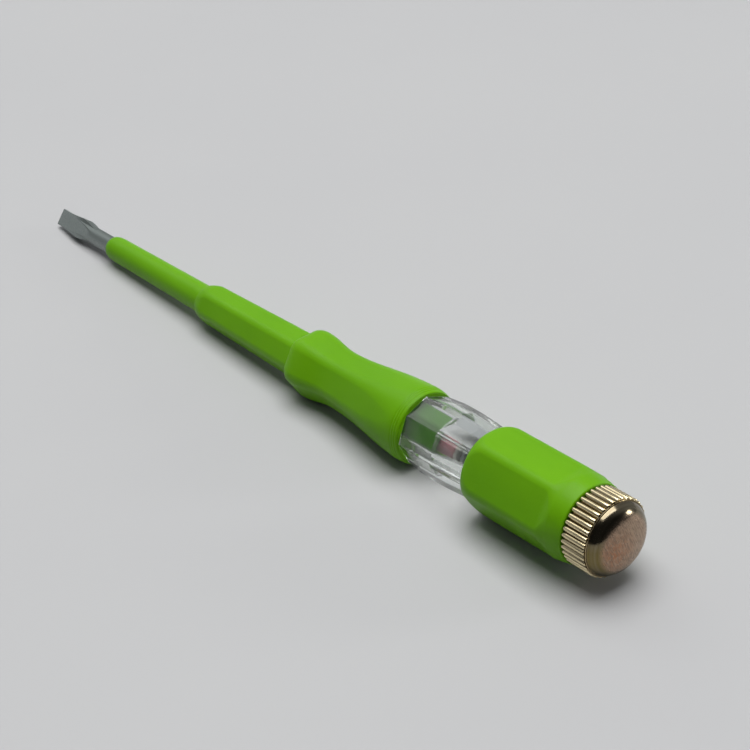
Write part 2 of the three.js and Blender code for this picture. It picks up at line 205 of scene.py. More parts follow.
# Inputs go by name, by number or in their order. A node given as an input is linked by its first output.
def addNode(tree, kind, inputs=(), **settings):
    node = tree.nodes.new(kind)
    for name, value in settings.items():
        setattr(node, name, value)
    for name, value in (inputs.items() if isinstance(inputs, dict) else enumerate(inputs)):
        if isinstance(value, bpy.types.Node):
            value = next(socket for socket in value.outputs if socket.enabled)
        if isinstance(value, bpy.types.NodeSocket):
            tree.links.new(value, node.inputs[name])
        else:
            node.inputs[name].default_value = value
    return node


def newMaterial(name):
    material = bpy.data.materials.new(name)
    material.use_nodes = True
    material.node_tree.nodes.clear()
    return material, material.node_tree


def finishMaterial(tree, inputs):
    surface = addNode(tree, "ShaderNodeBsdfPrincipled", inputs)
    addNode(tree, "ShaderNodeOutputMaterial", {"Surface": surface})


# Spots about so many millimetres wide, drawn out by stretch and leaning about the tool's axis
def spotPattern(tree, sizeInMm, detail=2.0, stretch=(1, 1, 1), lean=0.0):
    place = addNode(tree, "ShaderNodeTexCoord")
    turned = addNode(tree, "ShaderNodeMapping", {
        "Vector": place.outputs["Object"], "Rotation": (math.radians(lean), 0, 0), "Scale": stretch},
        vector_type="TEXTURE")
    return addNode(tree, "ShaderNodeTexNoise", {
        "Vector": turned, "Scale": 1 / (sizeInMm * mm), "Detail": detail}).outputs["Fac"]


# The distance from a line beside the tool's axis
def distanceFrom(tree, y=0.0, z=0.0):
    place = addNode(tree, "ShaderNodeTexCoord")
    across = addNode(tree, "ShaderNodeMapping", {
        "Vector": place.outputs["Object"], "Scale": (0, 1, 1),
        "Location": (0, -y * mm, -axisHeight - z * mm)})
    return addNode(tree, "ShaderNodeVectorMath", [across], operation="LENGTH")


# Injection-moulded polypropylene: dense bright green with a soft, slightly uneven sheen, and a darker copy
# for the spigot that shows through the window, painted shade for the dim inside of the barrel
greenLook = {
    "colour": "69A608", "deepColour": "609C06", "spigotShadeColour": "305C0A", "spigotShadeDeepColour": "2A540A",
    "flowMark": 9.0, "flowStretch": 3, "flowEdge": (0.35, 0.65), "grain": 0.35, "grainDepth": 0.02,
    "roughness": (0.34, 0.44), "sheenEdge": (0.3, 0.7), "ior": 1.49, "specular": 0.14,
    "subsurface": 0.06, "subsurfaceDepth": 0.6, "subsurfaceColour": (0.5, 1.0, 0.1),
}


def makeGreenPlastic(name, colour, deepColour):
    look = greenLook
    material, tree = newMaterial(name)
    flow = spotPattern(tree, look["flowMark"], detail=3.0, stretch=(look["flowStretch"], 1, 1))
    isDeep = addNode(tree, "ShaderNodeMapRange", [flow, *look["flowEdge"]])
    mixed = addNode(tree, "ShaderNodeMix", {
        0: isDeep, 6: hexColour(colour), 7: hexColour(deepColour)}, data_type="RGBA")
    rough = addNode(tree, "ShaderNodeMapRange", [flow, *look["sheenEdge"], *look["roughness"]])
    bump = addNode(tree, "ShaderNodeBump", {
        "Height": spotPattern(tree, look["grain"]), "Distance": look["grainDepth"] * mm})
    finishMaterial(tree, {
        "Base Color": mixed, "Roughness": rough, "Normal": bump, "IOR": look["ior"],
        "Specular IOR Level": look["specular"], "Subsurface Weight": look["subsurface"],
        "Subsurface Radius": look["subsurfaceColour"], "Subsurface Scale": look["subsurfaceDepth"] * mm})
    return material


# Clear polystyrene, moulded: bends light like thick glass, a little hazy, with faint flow lines
clearLook = {
    "colour": "F4F8F5", "roughness": 0.1, "ior": 1.5, "clear": 0.98, "flowMark": 3.0, "flowStretch": 3,
    "flowDepth": 0.01,
}


def makeClearPlastic():
    look = clearLook
    material, tree = newMaterial("polystyrene_moulded_clear")
    flow = spotPattern(tree, look["flowMark"], stretch=(look["flowStretch"], 1, 1))
    bump = addNode(tree, "ShaderNodeBump", {"Height": flow, "Distance": look["flowDepth"] * mm})
    finishMaterial(tree, {
        "Base Color": hexColour(look["colour"]), "Roughness": look["roughness"], "Normal": bump,
        "IOR": look["ior"], "Transmission Weight": look["clear"]})
    return material


# Tool steel, ground and bead-blasted: an even satin grey. The upper side of the round shank is darker:
# painted shade, which starts at the first place, height and radius of each pair and is full at the second.
steelLook = {
    "colour": "8F9794", "wornColour": "A0A7A4", "shankShadeColour": "757C79", "metallic": 0.85,
    "shankShadePlace": (4.5, 7.5), "shankShadeHeight": (0.6, 1.2), "shankShadeRadius": (1.36, 1.46),
    "grit": 0.22, "gritEdge": (0.35, 0.65), "gritDepth": 0.016,
    "roughness": (0.5, 0.6), "sheenEdge": (0.3, 0.7),
}


def makeBladeSteel():
    look = steelLook
    material, tree = newMaterial("tool_steel_bead_blasted")
    grit = spotPattern(tree, look["grit"], detail=3.0)
    isWorn = addNode(tree, "ShaderNodeMapRange", [grit, *look["gritEdge"]])
    ground = addNode(tree, "ShaderNodeMix", {
        0: isWorn, 6: hexColour(look["colour"]), 7: hexColour(look["wornColour"])}, data_type="RGBA")
    place = addNode(tree, "ShaderNodeTexCoord")
    parts = addNode(tree, "ShaderNodeSeparateXYZ", [place.outputs["Object"]])
    shankShadePlace = [(tipX + x) * mm for x in look["shankShadePlace"]]
    shankShadeHeight = [axisHeight + z * mm for z in look["shankShadeHeight"]]
    shankShadeRadius = [r * mm for r in look["shankShadeRadius"]]
    isShank = addNode(tree, "ShaderNodeMapRange", [parts.outputs["X"], *shankShadePlace])
    isUpper = addNode(tree, "ShaderNodeMapRange", [parts.outputs["Z"], *shankShadeHeight])
    isRound = addNode(tree, "ShaderNodeMapRange", [distanceFrom(tree), *shankShadeRadius])
    # the upper side of the round shank takes the darker colour: painted shade
    isUpperShank = addNode(tree, "ShaderNodeMath", [isShank, isUpper], operation="MULTIPLY")
    isShankShade = addNode(tree, "ShaderNodeMath", [isUpperShank, isRound], operation="MULTIPLY")
    colour = addNode(tree, "ShaderNodeMix", {
        0: isShankShade, 6: ground, 7: hexColour(look["shankShadeColour"])}, data_type="RGBA")
    rough = addNode(tree, "ShaderNodeMapRange", [grit, *look["sheenEdge"], *look["roughness"]])
    bump = addNode(tree, "ShaderNodeBump", {"Height": grit, "Distance": look["gritDepth"] * mm})
    finishMaterial(tree, {
        "Base Color": colour, "Metallic": look["metallic"], "Roughness": rough, "Normal": bump})
    return material


# End cap: a turned body with straight knurling, a lip, a rounded shoulder and a slightly crowned face.
# A tooth's top is given as shares of its pitch and drops below its crest, its ends as insets and drops.
cap = {
    "crest": 5.95, "root": 5.57, "knurlLength": 4.2, "teeth": 38, "reach": 0.2, "edge": 0.05,
    "lip": 0.2, "lipRadius": 5.68, "lipGap": 0.02, "lipEdge": 0.06,
    "rim": 5.5, "domeLength": 2.3, "shoulderFrom": 20, "shoulderTo": 76, "pole": 0.02,
    "stud": 2.5, "studEdge": 0.1, "threadPitch": 1.0, "threadDepth": 0.3, "threadSteps": 16,
    "toothFoot": 0.46, "toothTop": ((0.32, 0.17), (0.22, 0.06), (0.1, 0.012), (0, 0)),
    "toothEnd": ((0, 0.1), (0.05, 0.02), (0.12, 0)), "toothGap": 0.03, "toothSink": 0.08,
    "toothThin": 0.01, "toothSharpAngle": 30, "sharpAngle": 40,
}


# Turned steel, copper and nickel plated: champagne on the knurl, a polished dark mirror on the shoulder,
# and a face dulled to a finely scratched pinkish brown, coppery where handling rubbed the nickel through
capLook = {
    # the dark colour between the knurl's crests is painted shade
    "plating": "E0D0A8", "grooveShade": "5E4C2C", "platingRoughness": 0.2, "crestFade": 0.12, "studFade": 0.3,
    "polish": "8A806B", "streak": "6E6450", "polishRoughness": 0.14, "polishFrom": 0.05,
    "turnedLine": 0.22, "streakEdge": (0.42, 0.6), "streakShare": 0.7,
    # the lower shoulder's colour is painted shade, for the shadowed floor that it mirrors
    "shoulderShade": "75683F", "shoulderShadeHeight": (2.6, 0.6), "shoulderShadeEdge": (0.4, 0.62), "shoulderShadeShare": (0.55, 1),
    "tarnish": "AE9680", "faceRadius": 4.6, "faceEdge": 0.7, "faceRoughness": (0.26, 0.36),
    "copper": "B2714A", "rubbed": (-2.2, -0.3), "rubbedSize": 4.0, "rubbedShare": 0.75,
    "speck": 0.5, "speckEdge": (0.35, 0.65), "rubbedEdge": (0.4, 0.6), "rubbedSpeck": (0.3, 1),
    "shade": "806E5E", "scratch": 0.16, "scratchLean": 20, "scratchStretch": 9, "scratchDepth": 0.004,
    "scratchEdge": (0.42, 0.66), "scratchShare": 0.8,
}


def makeCapMetal():
    look = capLook
    material, tree = newMaterial("steel_turned_nickel_plated")
    place = addNode(tree, "ShaderNodeTexCoord")
    parts = addNode(tree, "ShaderNodeSeparateXYZ", [place.outputs["Object"]])
    radius = distanceFrom(tree)
    speck = spotPattern(tree, look["speck"], detail=4.0)
    scratch = spotPattern(
        tree, look["scratch"], detail=3.0, stretch=(1, 1, look["scratchStretch"]),
        lean=look["scratchLean"])
    turned = addNode(tree, "ShaderNodeTexNoise", {
        "W": radius, "Scale": 1 / (look["turnedLine"] * mm), "Detail": 2.0}, noise_dimensions="1D")

    # the face: tarnish, copper where it is rubbed, and scratches across both
    isRubbed = addNode(tree, "ShaderNodeMapRange", [
        distanceFrom(tree, *look["rubbed"]), look["rubbedSize"] * mm, 0, 0, look["rubbedShare"]])
    rubbedSpeck = addNode(tree, "ShaderNodeMapRange", [speck, *look["rubbedEdge"], *look["rubbedSpeck"]])
    isCopper = addNode(tree, "ShaderNodeMath", [isRubbed, rubbedSpeck], operation="MULTIPLY")
    face = addNode(tree, "ShaderNodeMix", {
        0: isCopper, 6: hexColour(look["tarnish"]), 7: hexColour(look["copper"])}, data_type="RGBA")
    isScratch = addNode(tree, "ShaderNodeMapRange", [
        scratch, *look["scratchEdge"], 0, look["scratchShare"]])
    face = addNode(tree, "ShaderNodeMix", {
        0: isScratch, 6: face, 7: hexColour(look["shade"])}, data_type="RGBA")

    # the shoulder: a mirror with fine turned lines, and painted shade of the shadowed floor on its lower side
    isStreak = addNode(tree, "ShaderNodeMapRange", [turned, *look["streakEdge"], 0, look["streakShare"]])
    shoulder = addNode(tree, "ShaderNodeMix", {
        0: isStreak, 6: hexColour(look["polish"]), 7: hexColour(look["streak"])}, data_type="RGBA")
    shoulderShadeHeight = [axisHeight + z * mm for z in look["shoulderShadeHeight"]]
    isLower = addNode(tree, "ShaderNodeMapRange", [parts.outputs["Z"], *shoulderShadeHeight])
    shoulderShadeLine = addNode(tree, "ShaderNodeMapRange", [turned, *look["shoulderShadeEdge"], *look["shoulderShadeShare"]])
    isShoulderShade = addNode(tree, "ShaderNodeMath", [isLower, shoulderShadeLine], operation="MULTIPLY")
    shoulder = addNode(tree, "ShaderNodeMix", {
        0: isShoulderShade, 6: shoulder, 7: hexColour(look["shoulderShade"])}, data_type="RGBA")

    # the knurl: plating on its crests and the stud, and a dark colour between the crests that is painted
    # shade
    root = cap["root"] * mm
    isCrest = addNode(tree, "ShaderNodeMapRange", [radius, root, (cap["crest"] - look["crestFade"]) * mm])
    isStud = addNode(tree, "ShaderNodeMapRange", [radius, root, root - look["studFade"] * mm])
    isBright = addNode(tree, "ShaderNodeMath", [isCrest, isStud], operation="MAXIMUM")
    knurl = addNode(tree, "ShaderNodeMix", {
        0: isBright, 6: hexColour(look["grooveShade"]), 7: hexColour(look["plating"])}, data_type="RGBA")

    faceRadius = look["faceRadius"] * mm
    isFace = addNode(tree, "ShaderNodeMapRange", [radius, faceRadius, faceRadius - look["faceEdge"] * mm])
    shoulderX = (endX - cap["domeLength"]) * mm
    isEnd = addNode(tree, "ShaderNodeMapRange", [
        parts.outputs["X"], shoulderX, shoulderX + look["polishFrom"] * mm])
    end = addNode(tree, "ShaderNodeMix", {0: isFace, 6: shoulder, 7: face}, data_type="RGBA")
    colour = addNode(tree, "ShaderNodeMix", {0: isEnd, 6: knurl, 7: end}, data_type="RGBA")
    faceRough = addNode(tree, "ShaderNodeMapRange", [speck, *look["speckEdge"], *look["faceRoughness"]])
    endRough = addNode(tree, "ShaderNodeMapRange", [isFace, 0, 1, look["polishRoughness"], faceRough])
    rough = addNode(tree, "ShaderNodeMapRange", [isEnd, 0, 1, look["platingRoughness"], endRough])
    bump = addNode(tree, "ShaderNodeBump", {"Height": scratch, "Distance": look["scratchDepth"] * mm})
    finishMaterial(tree, {"Base Color": colour, "Metallic": 1.0, "Roughness": rough, "Normal": bump})
    return material


# The small metal parts: a colour, a darker cloud over it, and the roughness
metalCloud = {"size": 0.6, "depth": 0.004}
metalLook = {
    # oiled wire: mid grey, with a soft line of light along each coil
    "spring_steel_drawn": ("8C8F90", "6F7273", 0.35),
    # warm yellow, browner where it has aged
    "brass_pressed": ("B98F4A", "A37A3C", 0.3),
    # pale and slightly warm, the brightest of the four
    "nickel_plated_pressed": ("B9B4AC", "9A948C", 0.25),
    # dull wire, coloured rose: a painted glow of the neon
    "electrode_wire_painted_glow": ("B0445C", "7E3040", 0.45),
}


def makePlainMetal(name):
    colour, darker, roughness = metalLook[name]
    material, tree = newMaterial(name)
    cloud = spotPattern(tree, metalCloud["size"], detail=3.0)
    mixed = addNode(tree, "ShaderNodeMix", {
        0: cloud, 6: hexColour(colour), 7: hexColour(darker)}, data_type="RGBA")
    bump = addNode(tree, "ShaderNodeBump", {"Height": cloud, "Distance": metalCloud["depth"] * mm})
    finishMaterial(tree, {"Base Color": mixed, "Metallic": 1.0, "Roughness": roughness, "Normal": bump})
    return material


# Soda-lime glass, drawn to a tube: thin, mirror-smooth and clear, tinted rose: a painted glow of the neon
glassLook = {"colour": "A87078", "roughness": 0.05, "ior": 1.5, "clear": 0.55}


def makeLampGlass():
    look = glassLook
    material, tree = newMaterial("soda_lime_glass_drawn")
    finishMaterial(tree, {
        "Base Color": hexColour(look["colour"]), "Roughness": look["roughness"], "IOR": look["ior"],
        "Transmission Weight": look["clear"]})
    return material


# Fired ceramic under lacquer: a half-matt cream with faint clouds
ceramicLook = {"colour": "C9B48C", "darker": "B8A27A", "cloud": 0.7, "roughness": 0.5}


def makeCeramic():
    look = ceramicLook
    material, tree = newMaterial("ceramic_lacquered")
    cloud = spotPattern(tree, look["cloud"], detail=3.0)
    mixed = addNode(tree, "ShaderNodeMix", {
        0: cloud, 6: hexColour(look["colour"]), 7: hexColour(look["darker"])}, data_type="RGBA")
    finishMaterial(tree, {"Base Color": mixed, "Roughness": look["roughness"]})
    return material


greenPlastic = makeGreenPlastic(
    "polypropylene_moulded_green", greenLook["colour"], greenLook["deepColour"])
# a darker copy of the green for the spigot: painted shade
spigotShadeGreen = makeGreenPlastic(
    "polypropylene_moulded_green_painted_shade", greenLook["spigotShadeColour"], greenLook["spigotShadeDeepColour"])
clearPlastic = makeClearPlastic()
bladeSteel = makeBladeSteel()
capMetal = makeCapMetal()
lampGlass = makeLampGlass()
ceramic = makeCeramic()
springSteel = makePlainMetal("spring_steel_drawn")
contactBrass = makePlainMetal("brass_pressed")
contactNickel = makePlainMetal("nickel_plated_pressed")
electrodeMetal = makePlainMetal("electrode_wire_painted_glow")
print("materials ready")


# Steel blade: round shank, forged wings and two ground flats
blade = {
    "shank": 1.5, "tipHalfWidth": 1.25, "tipHalf": 0.275, "grindLength": 11.5, "turn": 51,
    "wingHalfWidth": 1.8, "wingHalf": 0.95, "wingPlace": 7.2, "wingRunOut": 4.8, "wingEnd": 0.75,
    "edgeRound": 0.05, "edgeSteps": 2, "edgeAngle": 35, "sharpAngle": 24,
}


def bladeRing(x):
    reach = x - tipX
    shank = blade["shank"]
    grind = min(mix(blade["tipHalf"], shank, reach / blade["grindLength"]), shank)
    if reach < blade["wingPlace"]:
        wing = mix(blade["tipHalfWidth"], blade["wingHalfWidth"], reach / blade["wingPlace"])
    else:
        share = min((reach - blade["wingPlace"]) / blade["wingRunOut"], 1)
        wing = ease(blade["wingHalfWidth"], blade["wingEnd"] * shank, share)

    def onCircle(height):
        return math.sqrt(max(shank ** 2 - height ** 2, 0))

    top = min(blade["wingHalf"], grind)
    shoulder = onCircle(top)
    low, high = math.asin(top / shank), math.asin(min(grind / shank, 1))
    quarter = [(max(wing, onCircle(top * s)), top * s) for s in steps(7)]
    quarter += [(mix(max(wing, shoulder), shoulder, s), top) for s in steps(4)[1:-1]]
    for share in steps(8):
        angle = mix(low, high, share)
        quarter.append((shank * math.cos(angle), shank * math.sin(angle)))
    half = quarter + [(-y, z) for y, z in reversed(quarter)]
    outline = half + [(-y, -z) for y, z in half]
    return turnPoints([(x, y, z) for y, z in outline], blade["turn"])


def makeBlade():
    stops = [0, blade["wingPlace"], blade["grindLength"], blade["wingPlace"] + blade["wingRunOut"]]
    places = [tipX + mix(low, high, s) for low, high in zip(stops, stops[1:]) for s in steps(12)[:-1]]
    rings = [bladeRing(x) for x in (*places, tipX + stops[-1], tangX)]
    piece = ringPiece(
        "blade_steel", rings, bladeSteel, "blade", closed=False,
        sharpAngle=blade["sharpAngle"])
    bevel = piece.modifiers.new("edges", "BEVEL")
    bevel.width = blade["edgeRound"] * mm
    bevel.segments = blade["edgeSteps"]
    bevel.angle_limit = math.radians(blade["edgeAngle"])
    applyModifiers(piece)
    return piece


# Green sleeve over the shank, with a round nose
sleeve = {"radius": 2.4, "noseRadius": 2.15, "noseLength": 1.9, "bore": 1.65}


def makeSleeve():
    s = sleeve
    rings = []
    for share in steps(14):
        angle = math.pi / 2 * share
        x = sleeveX + s["noseLength"] * (1 - math.cos(angle))
        rings.append(ring(x, mix(s["bore"], s["noseRadius"], math.sin(angle))))
    for share in steps(8)[1:]:
        x = mix(sleeveX + s["noseLength"], hexX, share)
        rings.append(ring(x, mix(s["noseRadius"], s["radius"], share)))
    rings.append(ring(sleeveEndX, s["radius"]))
    rings.append(ring(sleeveEndX, s["bore"]))
    rings.append(ring(sleeveX, s["bore"]))
    return ringPiece("sleeve_moulded", rings, greenPlastic, "shaft_sleeve")


# Front grip: hexagonal section, guard collar, flared handle and the spigot in the window
grip = {
    "sides": 6, "hexLength": 26.6, "hexFace": 2.85, "hexFront": 3.4, "hexRear": 3.85, "hexChamfer": 2.4,
    "hexRound": 0.45, "handleLength": 28.2, "fillet": 0.9, "collarFace": 4.5, "collar": 5.42, "crest": 2.1,
    "waist": 4.63, "waistPlace": 8.8, "ring": 6.03, "ringEdge": 5.6, "ringEdgeLength": 2.3, "lip": 0.12,
    "ridges": 3, "ridgeHeight": 0.06, "ridgePitch": 0.42, "ridgeEnd": 0.35,
    "socket": 4.85, "socketDepth": 4.1, "bore": 2.1, "sleeveBore": 2.55,
    "spigot": 2.75, "spigotRound": 0.35, "spigotEdge": 0.35, "spigotFrom": 0.01,
}
collarX = hexX + grip["hexLength"]
windowX = collarX + grip["handleLength"]


def makeFrontGrip():
    g = grip
    rings = []

    def station(x, radius, roundShare=1):
        rings.append(ring(x, radius, g["sides"], roundShare))

    station(hexX, g["hexFace"])
    for share in steps(10)[1:]:
        radius = mix(g["hexFace"], g["hexFront"], math.sin(math.pi / 2 * share))
        station(hexX + g["hexChamfer"] * share, radius, mix(1, g["hexRound"], share))
    filletX = collarX - g["fillet"]
    for share in steps(6)[1:]:
        x = mix(hexX + g["hexChamfer"], filletX, share)
        station(x, mix(g["hexFront"], g["hexRear"], share), g["hexRound"])
    for share in steps(10)[1:]:
        angle = math.pi / 2 * share
        radius = g["collarFace"] - (g["collarFace"] - g["hexRear"]) * math.cos(angle)
        station(filletX + g["fillet"] * math.sin(angle), radius, g["hexRound"])
    for share in steps(16)[1:]:
        angle = math.pi / 2 * share
        radius = mix(g["collarFace"], g["collar"], math.sin(angle))
        station(collarX + g["crest"] * (1 - math.cos(angle)), radius, g["hexRound"])
    crestX = collarX + g["crest"]
    waistX = collarX + g["waistPlace"]
    ringX = windowX - g["ringEdgeLength"]
    for share in steps(24)[1:]:
        station(mix(crestX, waistX, share), ease(g["collar"], g["waist"], share), g["hexRound"])
    for share in steps(48)[1:]:
        roundShare = mix(g["hexRound"], 1, share ** 3)
        station(mix(waistX, ringX, share), ease(g["waist"], g["ring"], share), roundShare)
    ridgeX = windowX - g["ridgeEnd"] - g["ridges"] * g["ridgePitch"]
    for share in steps(60)[1:-1]:
        x = mix(ringX, windowX, share)
        radius = g["ringEdge"] + (g["ring"] - g["ringEdge"]) * math.sqrt(1 - share ** 2)
        if ridgeX < x < windowX - g["ridgeEnd"]:
            radius -= g["ridgeHeight"] * math.sin(math.pi * (x - ridgeX) / g["ridgePitch"]) ** 2
        station(x, radius)
    for share in steps(4):
        angle = math.pi / 2 * share
        radius = g["ringEdge"] - g["lip"] * (1 - math.cos(angle))
        station(windowX - g["lip"] * (1 - math.sin(angle)), radius)
    socketX = windowX - g["socketDepth"]
    station(windowX, g["socket"])
    station(socketX, g["socket"])
    station(socketX, g["spigot"], g["spigotRound"])
    for share in steps(6):
        angle = math.pi / 2 * share
        radius = g["spigot"] - g["spigotEdge"] * (1 - math.cos(angle))
        station(spigotX - g["spigotEdge"] * (1 - math.sin(angle)), radius, g["spigotRound"])
    station(spigotX, g["bore"])
    station(tangX, g["bore"])
    station(tangX, g["sleeveBore"])
    station(hexX, g["sleeveBore"])
    piece = ringPiece("front_grip_moulded", rings, greenPlastic, "front_grip")
    # the spigot's faces take the darker green: painted shade
    piece.data.materials.append(spigotShadeGreen)
    for face in piece.data.polygons:
        if face.center.x > (windowX + g["spigotFrom"]) * mm:
            face.material_index = 1
    return piece


# Clear barrel: eight-sided bulged window with a neck in front and a tube behind, bored for the spigot and
# the lamp. The plastic lies on the spigot's two lower faces and clears the others, so its socket sits low.
window = {
    "sides": 8, "end": 5.52, "crest": 5.97, "crestShare": 0.38, "round": 0.1, "turn": -2,
    "neck": 4.7, "tail": 4.5,
    "socket": 2.9, "socketRound": 0.35, "socketSide": 0.0825, "socketDrop": 0.143,
    "slotWidth": 5.3, "slotHeight": 4.1, "slotCorner": 0.3, "slotTurn": -12, "seatGap": 0.3,
    "counterbore": 2.8, "edge": 0.15, "fit": 0.03, "overlap": 0.02, "overrun": 0.5,
}


# One solid less others, all given as rings
def cutRings(rings, cutters, name):
    solids = [addObject(name, skinMesh(name, solid, closed=False)) for solid in (rings, *cutters)]
    for cutter in solids[1:]:
        cut = solids[0].modifiers.new("cut", "BOOLEAN")
        cut.operation = "DIFFERENCE"
        cut.solver = "EXACT"
        cut.object = cutter
    bm = bmesh.new()
    bm.from_mesh(applyModifiers(solids[0]))
    for solid in solids:
        bpy.data.objects.remove(solid)
    return finishMesh(bm, name)


def makeClearBarrel():
    w = window
    fromX = windowX + w["fit"]
    toX = rearX - w["fit"]
    crestX = mix(fromX, toX, w["crestShare"])
    rings = [ring(neckX, w["neck"]), ring(fromX, w["neck"])]

    def station(x, radius):
        rings.append(ring(x, radius, w["sides"], w["round"], w["turn"]))

    station(fromX, w["end"] - w["edge"])
    for share in steps(12):
        radius = mix(w["end"], w["crest"], math.sin(math.pi / 2 * share))
        station(mix(fromX + w["edge"], crestX, share), radius)
    for share in steps(18)[1:]:
        station(mix(crestX, toX - w["edge"], share), mix(w["crest"], w["end"], share ** 2))
    station(toX, w["end"] - w["edge"])
    rings.append(ring(toX, w["tail"]))
    rings.append(ring(backX, w["tail"]))
    socketEndX = spigotX - w["fit"]  # the spigot is pressed home, so its end shows through the plastic
    slotEndX = studX - w["seatGap"]
    slot = (w["slotWidth"], w["slotHeight"], w["slotCorner"], w["slotTurn"])
    socket = []
    for x in (neckX - w["overrun"], socketEndX):
        points = ring(x, w["socket"], grip["sides"], w["socketRound"])
        socket.append([(x, y + w["socketSide"], z - w["socketDrop"]) for x, y, z in points])
    chamber = [slotRing(x, *slot) for x in (socketEndX - w["overlap"], slotEndX + w["fit"])]
    counterbore = [ring(x, w["counterbore"]) for x in (slotEndX, backX + w["overrun"])]
    mesh = cutRings(rings, [socket, chamber, counterbore], "window_barrel_clear")
    barrel = addPiece(mesh, "window_barrel_clear", clearPlastic, "clear_barrel")
    barrel.visible_shadow = False  # clear plastic lets the lamp, the spring and the floor under it be lit
    return barrel


# Rear grip: six flats that run out into a round collar before the cap
rear = {
    "sides": 6, "flat": 6.05, "cornerRadius": 1.7, "nose": 5.5, "noseLength": 3.0, "flatEnd": 4.6,
    "collarLength": 2.4, "collar": 6.5, "back": 6.02, "backEdge": 0.12, "backFlare": 0.06,
    "backChamfer": 0.072, "bore": 4.65,
}


def makeRearGrip():
    r = rear
    roundShare = r["cornerRadius"] / r["flat"]
    over = 1 / math.cos(math.pi / r["sides"])
    full = r["flat"] * over - r["cornerRadius"] * (over - 1)  # how far the rounded corners reach
    rings = []

    def station(x, radius, roundShare=1):
        rings.append(ring(x, radius, r["sides"], roundShare))

    for share in steps(20):
        angle = math.pi / 2 * share
        x = rearX + r["noseLength"] * (1 - math.cos(angle))
        station(x, mix(r["nose"], full, math.sin(angle)), ease(1, roundShare, share))
    for share in steps(20):
        x = mix(backX - r["flatEnd"], backX - r["collarLength"], share)
        station(x, ease(full, r["collar"], share), ease(roundShare, 1, share))
    station(backX - r["backEdge"], r["back"] + r["backFlare"])
    station(backX, r["back"] - r["backChamfer"])
    station(backX, r["bore"])
    station(rearX, r["bore"])
    return ringPiece("rear_grip_moulded", rings, greenPlastic, "rear_grip")


capX = endX - cap["domeLength"] - cap["knurlLength"]


# A section of the stud's right-hand thread
def threadRing(x):
    points = []
    for i in range(ringPoints):
        turned = i / ringPoints
        depth = cap["threadDepth"] * abs(((x - studX) / cap["threadPitch"] - turned) % 1 * 2 - 1)
        angle = 2 * math.pi * turned
        radius = cap["stud"] - depth
        points.append((x, radius * math.cos(angle), radius * math.sin(angle)))
    return points


# The end in profile: a small shoulder arc, then a wide face arc that meets it without a corner
def domeRings(domeX):
    c = cap
    low, high = math.radians(c["shoulderFrom"]), math.radians(c["shoulderTo"])
    # both arcs together reach from the rim to the axis and along the dome's length
    acrossFace, alongFace = math.cos(high), 1 - math.sin(high)
    acrossShoulder, alongShoulder = math.cos(low) - math.cos(high), math.sin(high) - math.sin(low)
    area = acrossFace * alongShoulder - alongFace * acrossShoulder
    faceArc = (c["rim"] * alongShoulder - c["domeLength"] * acrossShoulder) / area
    shoulderArc = (c["domeLength"] * acrossFace - c["rim"] * alongFace) / area
    rings = []
    for share in steps(28):
        angle = mix(low, high, share)
        x = domeX + shoulderArc * (math.sin(angle) - math.sin(low))
        rings.append(ring(x, c["rim"] - shoulderArc * (math.cos(low) - math.cos(angle))))
    for share in steps(14)[1:]:
        angle = mix(high, math.pi / 2, share)
        x = domeX + c["domeLength"] - faceArc * (1 - math.sin(angle))
        rings.append(ring(x, max(faceArc * math.cos(angle), c["pole"])))
    return rings


def makeCapBody():
    c = cap
    domeX = capX + c["knurlLength"]
    frontX = capX - c["reach"]
    lipX = domeX - c["lip"]
    threadRoot = c["stud"] - c["threadDepth"]
    threadEndX = frontX - c["threadPitch"] / 2
    threadSteps = round((threadEndX - studX) / c["threadPitch"] * c["threadSteps"])
    rings = [ring(studX, c["pole"]), ring(studX, threadRoot - c["studEdge"])]
    rings += [threadRing(mix(studX + c["studEdge"], threadEndX, share)) for share in steps(threadSteps)]
    profile = [
        (threadEndX + c["studEdge"], threadRoot), (frontX, threadRoot),
        (frontX, c["root"] - c["edge"]), (frontX + c["edge"], c["root"]), (lipX - c["lipGap"], c["root"]),
        (lipX, c["lipRadius"] - c["edge"]), (lipX + c["edge"], c["lipRadius"]),
        (domeX - c["lipEdge"], c["lipRadius"]), (domeX, c["lipRadius"] - c["lipEdge"]),
    ]
    rings += [ring(x, radius) for x, radius in profile] + domeRings(domeX)
    return ringPiece(
        "cap_turned", rings, capMetal, "end_cap", closed=False, sharpAngle=c["sharpAngle"])


# One knurl tooth: a ridge with straight flanks and square ends, drawn at the top of the cap. It is made about
# the origin, and the node tree moves its copies to the cap.
def makeToothMesh():
    c = cap
    pitch = 2 * math.pi * c["crest"] / c["teeth"]
    low = c["root"] - c["toothSink"]
    half = [(0.5 * pitch, low), (c["toothFoot"] * pitch, c["root"])]
    half += [(share * pitch, c["crest"] - drop) for share, drop in c["toothTop"]]
    profile = half + [(-y, z) for y, z in reversed(half[:-1])]
    backTip = c["knurlLength"] - c["lip"] - c["toothGap"]
    ends = [(-c["reach"] + inset, drop) for inset, drop in c["toothEnd"]]
    ends += [(backTip - inset, drop) for inset, drop in reversed(c["toothEnd"])]
    rings = [[(x, y, low + max(z - low - drop, c["toothThin"])) for y, z in profile] for x, drop in ends]
    return skinMesh(
        "knurl_tooth", rings, closed=False, sharpAngle=c["toothSharpAngle"],
        place=lambda point: Vector(point) * mm)


def newGeometryTree(name, inputs):
    tree = bpy.data.node_groups.new(name, "GeometryNodeTree")
    tree.interface.new_socket("Geometry", in_out="OUTPUT", socket_type="NodeSocketGeometry")
    for label, kind in inputs.items():
        tree.interface.new_socket(label, in_out="INPUT", socket_type=kind)
    return tree, addNode(tree, "NodeGroupInput").outputs


